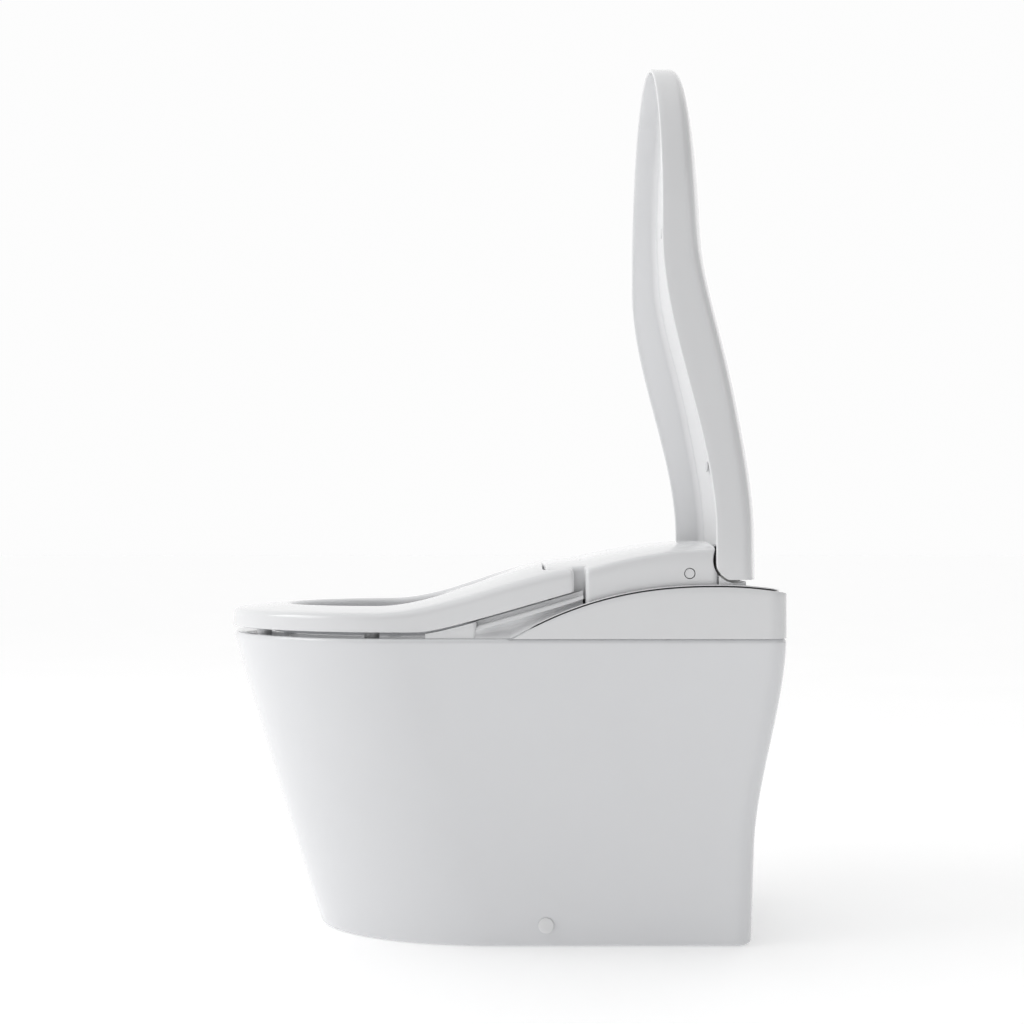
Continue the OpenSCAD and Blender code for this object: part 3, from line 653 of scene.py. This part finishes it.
def ridge_rings():
    """Ridge over a groove: a rounded edge, then a face hollowed by depth times sin^0.8 u,
    u the share of the way down to the housing's lip."""
    y = np.linspace(-34, 102.5, 90)
    ridge, base = seat_under(y) - 7.0, 380.2
    fall = ridge - np.maximum(380.4, deck(y) - 0.6)
    edge = np.minimum(5.5, 0.4 * fall)
    hollow = 9.0 * ease((y + 30.0) / 34.0) * ease(fall / 12.0)
    turn, down = np.linspace(0.0, math.pi / 2, 8), np.linspace(0.08, 1.0, 14)
    xs = [170.0, 170.0, 173.0, 174.2, 175.2] + [177.0 + 5.4 * math.sin(t) for t in turn]
    xs += [182.4 + 1.8 * float(ease((u - 0.55) / 0.45)) - hollow * math.sin(math.pi * u) ** 0.8
           for u in down[:-1]] + [184.2, 184.2]
    zs = [base, ridge + 5.2, ridge + 5.2, ridge + 1.0, ridge]
    zs += [ridge - edge * (1 - math.cos(t)) for t in turn]
    zs += [ridge - edge - (fall - edge) * u for u in down] + [base]
    return grid(xs, y, zs)


def build_ledges():
    """Ledges beside the seat: a wedge under its edge, then a ridge over a scooped groove."""
    made = []
    for tag, side in (("left", -1), ("right", 1)):
        for part, rings in (("wedge", wedge_rings()), ("ridge", ridge_rings())):
            piece = ring_piece(f"ledge_{part}_{tag}", rings * [side, 1, 1], ends=True)
            made.append(finish_piece(piece, "unit", "white_shell",
                                     [] if made else ["side_scoops"]))
    return made


# ---------------------------------------------------------------- rear cover
def cover_loop():
    """Plan of the rear cover: a tongue 324 wide with round front corners, then a square step
    out to 367 with round edges, and a straight back."""
    q = np.linspace(0, math.pi / 2, 15)
    c = np.linspace(0, math.pi / 2, 9)
    tongue, side = np.linspace(72, 103.8, 16)[1:-1], np.linspace(110.5, 254, 70)[1:-1]
    x = [np.linspace(0, 148, 40)[:-1], 148 + 14 * np.sin(q), np.full(14, 162.0),
         163.5 - 1.5 * np.cos(c), np.linspace(163.5, 178.3, 10)[1:-1], 178.3 + 5.2 * np.sin(c),
         np.full(68, COVER_HALF), 175.5 + 8 * np.cos(q), np.linspace(175.5, 0, 40)[1:]]
    y = [np.full(39, 58.0), 72 - 14 * np.cos(q), tongue, 103.8 + 1.5 * np.sin(c),
         np.full(8, 105.3), 110.5 - 5.2 * np.cos(c), side, 254 + 8 * np.sin(q), np.full(39, 262.0)]
    x, y = np.concatenate(x), np.concatenate(y)
    x = np.concatenate([x, -x[-2:0:-1]])
    y = np.concatenate([y, y[-2:0:-1]])
    return np.stack([x, y], 1)


def build_cover():
    """Rear cover: crowned top, edge rounding 5, walls down to the seat and the deck line."""
    loop = cover_loop()
    step = np.roll(loop, -1, 0) - np.roll(loop, 1, 0)
    inward = np.stack([-step[:, 1], step[:, 0]], 1) / np.linalg.norm(step, axis=1)[:, None]

    def topped(p, drop=0.0):
        return np.column_stack([p, cover_top(p[:, 0], p[:, 1]) - drop])

    stepped_out = (loop[:, 1] > 105.2) & (np.abs(loop[:, 0]) > 163.0)
    foot = np.column_stack([loop, np.where(stepped_out, deck(loop[:, 1]) - 3.5, 426.0)])
    rings = [foot] + blend_rings(foot, topped(loop, 5.0), 6)
    rings += [topped(loop + inward * i, d) for i, d in quarter(5.0, 10)[1:]]
    inner = loop + inward * 5.0
    rings += [topped(p) for p in close_ring(inner, 160.0, np.linspace(0.985, 0.0, 34))]
    faces = quads(len(rings), len(loop), False, True).tolist()
    cover = heal(new_piece("rear_cover", rings, faces))
    if sum(f.normal.z * f.area for f in cover.data.polygons) < 0:
        cover.data.flip_normals()
    wall = cover.modifiers.new("Wall", "SOLIDIFY")
    wall.thickness, wall.offset = 0.003, -1.0
    bake_modifiers(cover)
    cut(cover, rod_x(LID_AXIS, 27.6, -200, 200, 96), rod_x(BUTTON_AXIS, 6.6, 165, 190),
        rod_x(SEAT_AXIS, 4.1, 140, 176), rod_x(SEAT_AXIS, 4.1, -176, -140))
    return finish_piece(cover, "unit", "white_shell", ["top_cover"])


# ---------------------------------------------------------------- seat
def build_seat():
    """Seat ring: outer edge rounding 9 x 7, crowned top, opening rounding 9, lipped underside;
    ears reach back beside the cover's tongue. A flush base panel closes it below."""
    def out(d):
        return d_outline(SEAT_HALF - d, -END + d, 228.0 - d, 92.0 - d, 5.0 - min(d, 4.5))

    edge = out(0.0)
    half, length, middle = OPENING
    angles = np.arctan2((edge[:, 1] - middle) / length, edge[:, 0] / half)

    def opening(g):
        return np.column_stack([(half + g) * np.cos(angles),
                                middle + (length + g) * np.sin(angles)])

    def low(p, lift):
        return np.column_stack([p, seat_under(p[:, 1]) + lift])

    def high(p, drop=0.0):
        return np.column_stack([p, seat_top(p[:, 0], p[:, 1]) - drop])

    rings = [low(out(3.6), 2.6), low(out(3.5), 0.5), low(out(3.1), 0.0), low(out(2.0), 0.0),
             low(out(0.9), 0.35), low(out(0.25), 1.0), low(edge, 2.0)]
    rings += blend_rings(rings[-1], high(edge, 7.0), 5)
    t = np.linspace(0, math.pi / 2, 12)
    rings += [high(out(9.0 * (1 - math.cos(a))), 7.0 * (1 - math.sin(a))) for a in t]
    first, last = out(9.0), opening(9.0)
    rings += [high(first + (last - first) * s) for s in np.linspace(0, 1, 24)[1:-1]]
    rings += [high(opening(9.0 * (1 - math.sin(a))), 9.0 * (1 - math.cos(a))) for a in t]
    inner = opening(0.0)
    rings += blend_rings(rings[-1], low(inner, 2.0), 4)
    rings += [low(inner, 2.0), low(opening(0.25), 1.0), low(opening(0.9), 0.35),
              low(opening(2.0), 0.0), low(opening(3.1), 0.0), low(opening(3.5), 0.5)]
    first, last = opening(3.6), out(3.6)
    rings += [low(first + (last - first) * s, 2.6) for s in np.linspace(0, 1, 9)[:-1]]
    ring = ring_piece("seat_ring", rings, wrap_rows=True)
    base = [low(out(4.1), 3.0), low(out(4.1), 1.3), low(out(4.4), 0.7), low(out(5.0), 0.45)]
    first, last = out(5.0), opening(5.0)
    base += [low(first + (last - first) * s, 0.45) for s in np.linspace(0, 1, 12)[1:]]
    base += [low(opening(4.4), 0.7), low(opening(4.1), 1.3), low(opening(4.1), 3.0)]
    base += blend_rings(base[-1], base[0], 8)
    panel = ring_piece("seat_base", base, wrap_rows=True)
    for piece, grow in ((ring, 0.0), (panel, 0.6)):
        cut(piece, tongue_space(grow), rod_x(SEAT_AXIS, 3.8, 150, 176.4),
            rod_x(SEAT_AXIS, 3.8, -176.4, -150))
    return [finish_piece(ring, "seat", "white_shell", ["seat_top_shell", "seat_hinge_arms"]),
            finish_piece(panel, "seat", "white_satin", ["seat_bottom_shell"])]


def tongue_space(grow):
    """Space for the cover's tongue between the seat's ears, its front corners rounded by 14."""
    q = np.linspace(0, math.pi / 2, 15)
    x = np.concatenate([150.5 + 14 * np.sin(q), [164.5]])
    y = np.concatenate([69 - 14 * np.cos(q), [150.0]])
    x, y = np.concatenate([x, -x[::-1]]), np.concatenate([y, y[::-1]])
    x, y = x + grow * np.sign(x), y - grow
    return ring_piece("tool", [np.column_stack([x, y, np.full(len(x), z)]) for z in (330, 520)],
                      ends=True)


# ---------------------------------------------------------------- lid
def lid_rows(inset_levels, low_z):
    """(x, z) of every level row for each inset o: x = half - o up to the turn, then
    (half - o) cos a and turn + (227.6 - o) sin a round the tip."""
    o, hinge = np.asarray(inset_levels, float)[None, :], LID_AXIS[1]
    bend = hinge - (hinge - low_z) * np.cos(np.linspace(0, math.pi / 2, 10))
    z = np.concatenate([bend, np.linspace(hinge, LID_TURN, 58)[1:]])
    a = np.linspace(0, math.pi / 2, 46)[1:, None]
    straight = (LID_HALF - o) + 0 * z[:, None], z[:, None] + 0 * o
    tip = (LID_HALF - o) * np.cos(a), LID_TURN + (227.6 - o) * np.sin(a)
    return np.concatenate([straight[0], tip[0]]), np.concatenate([straight[1], tip[1]])


def lid_piece(name, outer, inner, low_z, slot, node):
    """A bent plate from two half sections, (inset, depth rule) from rim to centre line.
    Below its hinge the plate keeps to a circle of radius 25.4 about the axis."""
    section = outer + inner[::-1]
    insets = np.array([o for o, _ in section])
    x, z = lid_rows(insets, low_z)
    y = np.stack([rule(x[:, k], z[:, k]) for k, (_, rule) in enumerate(section)], 1)
    mid, hinge = LID_AXIS
    c = np.sqrt(np.clip(25.4**2 - np.clip(hinge - z, 0, None) ** 2, 0, None))
    y = np.where(z < hinge, np.maximum(y, mid - c), y)
    y = np.where((z < hinge) & (insets[None, :] <= 4.01), np.minimum(y, mid + c), y)
    half, n = np.stack([x, y, z], -1), len(outer)
    other = half * [-1, 1, 1]
    full = np.concatenate([half[:, :n], other[:, :n][:, ::-1], other[:, n:][:, ::-1],
                           half[:, n:]], 1)
    rows, cols = full.shape[:2]
    k = np.arange(2 * n - 1)
    end = np.stack([k, k + 1, cols - 2 - k, cols - 1 - k], 1) % cols
    faces = np.concatenate([quads(rows, cols, False, True), end[:, ::-1]]).tolist()
    return finish_piece(heal(new_piece(name, full, faces)), "lid", slot, [node], 50.0)


def build_lid():
    """Lid: a deep rim carried round the plan, back corner rounding 10, crowned panel, liner."""
    def front(lift):
        return lambda x, z: lid_front(z) + lift

    def wall(share):
        return lambda x, z: lid_front(z) + 2.0 + (lid_depth(z) - 11.0) * share

    def back(drop):
        return lambda x, z: lid_back(x, z) - drop

    t = np.linspace(0, math.pi / 2, 10)
    spread = list(np.linspace(0, 1, 26)[1:])
    outer = [(1.7, front(0.0)), (0.75, front(0.45)), (0.2, front(1.1))]
    outer += [(0.0, wall(s)) for s in np.linspace(0, 1, 5)[:-1]]
    outer += [(10 * (1 - math.cos(a)), back(9 * (1 - math.sin(a)))) for a in t]
    outer += [(10 + 179 * s, back(0.0)) for s in spread]
    inner = [(2.3, front(0.0)), (3.25, front(0.45)), (3.8, front(1.1))]
    inner += [(4.0, wall(s * 0.96)) for s in np.linspace(0, 1, 5)[:-1]]
    inner += [(4 + 8 * (1 - math.cos(a)), back(3.4 + 7 * (1 - math.sin(a)))) for a in t]
    inner += [(12 + 177 * s, back(3.4)) for s in spread]
    shell = lid_piece("lid_body", outer, inner, 449.5, "white_shell", "lid_shell")
    face = [(16.0, back(5.0)), (16.3, back(5.8)), (17.2, back(6.3))]
    face += [(17.2 + 171.8 * s, back(6.3)) for s in spread]
    rear = [(16.0, back(4.8)), (16.3, back(4.4)), (17.2, back(4.3))]
    rear += [(17.2 + 171.8 * s, back(4.3)) for s in spread]
    liner = lid_piece("lid_inner_panel", rear, face, 456.0, "white_satin", "lid_liner")
    return [shell, liner]


# ---------------------------------------------------------------- CAD nodes and stage
def dress_nodes():
    """Gives every shown CAD node the procedural finish of its own slot."""
    for name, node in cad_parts.items():
        for k, material in enumerate(node.data.materials):
            slot = material.name.split(".")[0]
            if slot not in FINISH_MAKERS:
                raise RuntimeError(f"{name}: no finish for slot {slot}")
            node.data.materials[k] = finish_for(slot)


def build_floor():
    """Pale floor, faintly mottled."""
    corners = [[x * 40000.0, y * 40000.0, -0.6] for x, y in ((-1, -1), (1, -1), (1, 1), (-1, 1))]
    floor = new_piece("stage_floor", corners, [[0, 1, 2, 3]])
    f = Finish("floor_paint", (0.88, 0.88, 0.88), 0.9, Emission_Strength=0.3)
    f.set("Base Color", f.between(f.noise(3.0), 0.3, 0.7, (0.87, 0.87, 0.87), (0.89, 0.89, 0.89)))
    f.set("Emission Color", (1.0, 1.0, 1.0, 1.0))
    floor.data.materials.append(f.material)
    return floor


def build_world(look):
    """Near-white surround that dims towards the right and the back, so that the side walls
    keep their shape."""
    world = bpy.data.worlds.new("studio")
    bpy.context.scene.world = world
    world.use_nodes = True
    tree = world.node_tree
    ground = next(n for n in tree.nodes if n.type == "BACKGROUND")
    way = tree.nodes.new("ShaderNodeTexCoord")
    ramp = tree.nodes.new("ShaderNodeValToRGB")
    ramp.color_ramp.elements[0].position, ramp.color_ramp.elements[1].position = 0.0, 0.75
    ramp.color_ramp.elements[0].color = (1.0, 1.0, 1.0, 1.0)
    ramp.color_ramp.elements[1].color = (look.near_sky,) * 3 + (1.0,)
    lean = tree.nodes.new("ShaderNodeVectorMath")
    lean.operation = "DOT_PRODUCT"
    lean.inputs[1].default_value = (0.75, 0.66, 0.0)
    tree.links.new(way.outputs["Generated"], lean.inputs[0])
    tree.links.new(lean.outputs["Value"], ramp.inputs["Fac"])
    tree.links.new(ramp.outputs["Color"], ground.inputs["Color"])
    ground.inputs["Strength"].default_value = look.sky


def build_light(name, place, aim, width, height, power):
    """Soft rectangular lamp aimed at a point."""
    lamp = bpy.data.lights.new(name, "AREA")
    lamp.shape, lamp.size, lamp.size_y, lamp.energy = "RECTANGLE", width, height, power
    obj = bpy.data.objects.new(name, lamp)
    bpy.context.scene.collection.objects.link(obj)
    obj.location = place
    obj.rotation_euler = (Vector(aim) - Vector(place)).to_track_quat("-Z", "Y").to_euler()


def build_camera(look):
    """Level camera square to the right side, rising-front shift."""
    data = bpy.data.cameras.new("camera")
    data.sensor_width, data.lens = 36.0, look.lens
    data.shift_x, data.shift_y = 0.002, 0.0273
    camera = bpy.data.objects.new("camera", data)
    bpy.context.scene.collection.objects.link(camera)
    camera.location = (look.camera_distance, 0.016, 0.4965)
    camera.rotation_euler = (math.radians(90), 0.0, math.radians(90))
    bpy.context.scene.camera = camera


# ---------------------------------------------------------------- settings, operators, panel
class BIDET_PG_looks(bpy.types.PropertyGroup):
    """Colours of the visible finishes and strength of the light."""
    glaze: FloatVectorProperty(name="Glaze", description="Colour of the glazed pan",
                               subtype="COLOR", size=3, default=(0.75, 0.756, 0.772))
    shell: FloatVectorProperty(name="Shell", description="Colour of the glossy plastic covers",
                               subtype="COLOR", size=3, default=(0.79, 0.794, 0.804))
    satin: FloatVectorProperty(name="Satin", description="Colour of the satin plastic parts",
                               subtype="COLOR", size=3, default=(0.82, 0.823, 0.83))
    trim: FloatVectorProperty(name="Trim", description="Colour of the bright bead",
                              subtype="COLOR", size=3, default=(0.86, 0.86, 0.87))
    sky: FloatProperty(name="Surround", description="Brightness of the surround", default=0.98,
                       min=0.0, max=3.0)
    near_sky: FloatProperty(name="Near side", description="Share of it on the viewer's side",
                            default=0.12, min=0.0, max=1.0)
    key: FloatProperty(name="Key lamp", description="Power of the overhead lamp", default=17.0,
                       unit="POWER", min=0.0)
    lens: FloatProperty(name="Lens", description="Focal length of the camera in millimetres",
                        default=45.25, min=20.0, max=200.0)
    camera_distance: FloatProperty(name="Camera distance", description="From the centre plane",
                                   default=1.7, unit="LENGTH", min=0.5, max=8.0)


def run(*makers):
    """Calls the makers in turn and stops with an error at one that makes nothing."""
    for make in makers:
        if make() is None:
            raise RuntimeError(f"{make.__name__} made nothing")
    return {"FINISHED"}


class BIDET_OT_pan(bpy.types.Operator):
    """Build the glazed pan and its side caps"""
    bl_idname = "bidet.pan"
    bl_label = "Glazed pan"

    def execute(self, context):
        return run(build_caps, build_pan)


class BIDET_OT_housing(bpy.types.Operator):
    """Build the rear housing, its bright beads and the ledges beside the seat"""
    bl_idname = "bidet.housing"
    bl_label = "Housing and trim"

    def execute(self, context):
        return run(build_trim, build_ledges, build_housing)


class BIDET_OT_cover(bpy.types.Operator):
    """Build the rear cover"""
    bl_idname = "bidet.cover"
    bl_label = "Rear cover"

    def execute(self, context):
        return run(build_cover)


class BIDET_OT_seat(bpy.types.Operator):
    """Build the seat ring and its base panel"""
    bl_idname = "bidet.seat"
    bl_label = "Seat"

    def execute(self, context):
        return run(build_seat)


class BIDET_OT_lid(bpy.types.Operator):
    """Build the lid's shell and inner panel"""
    bl_idname = "bidet.lid"
    bl_label = "Lid"

    def execute(self, context):
        return run(build_lid)


class BIDET_OT_nodes(bpy.types.Operator):
    """Give the remaining frame parts their finishes"""
    bl_idname = "bidet.nodes"
    bl_label = "Finish the frame"

    def execute(self, context):
        dress_nodes()
        return {"FINISHED"}


class BIDET_OT_stage(bpy.types.Operator):
    """Set the floor, surround, lamps and camera"""
    bl_idname = "bidet.stage"
    bl_label = "Stage"

    def execute(self, context):
        look = context.scene.bidet_looks
        context.scene.view_settings.view_transform = "Standard"
        build_world(look)
        build_camera(look)
        build_light("key", (0.5, -2.1, 2.1), (0.0, 0.0, 0.45), 1.6, 1.2, look.key)
        build_light("fill", (1.6, 1.6, 1.6), (0.0, 0.1, 0.4), 1.2, 1.2, look.key * 0.15)
        return run(build_floor)


class BIDET_PT_panel(bpy.types.Panel):
    """Steps and settings, in order."""
    bl_idname = "BIDET_PT_panel"
    bl_label = "Bidet seat"
    bl_space_type = "VIEW_3D"
    bl_region_type = "UI"
    bl_category = "Bidet"

    def draw(self, context):
        for operator in STEPS:
            self.layout.operator(operator.bl_idname)
        for key in BIDET_PG_looks.__annotations__:
            self.layout.prop(context.scene.bidet_looks, key)


STEPS = (BIDET_OT_pan, BIDET_OT_housing, BIDET_OT_cover, BIDET_OT_seat, BIDET_OT_lid,
         BIDET_OT_nodes, BIDET_OT_stage)
CLASSES = (BIDET_PG_looks, *STEPS, BIDET_PT_panel)


def register():
    for cls in CLASSES:
        bpy.utils.register_class(cls)
    bpy.types.Scene.bidet_looks = PointerProperty(type=BIDET_PG_looks)


def unregister():
    del bpy.types.Scene.bidet_looks
    for cls in reversed(CLASSES):
        bpy.utils.unregister_class(cls)


def main():
    register()
    for step in STEPS:
        group, name = step.bl_idname.split(".")
        if getattr(getattr(bpy.ops, group), name)() != {"FINISHED"}:
            raise RuntimeError(f"{step.bl_label} did not finish")


if __name__ == "__main__":
    main()
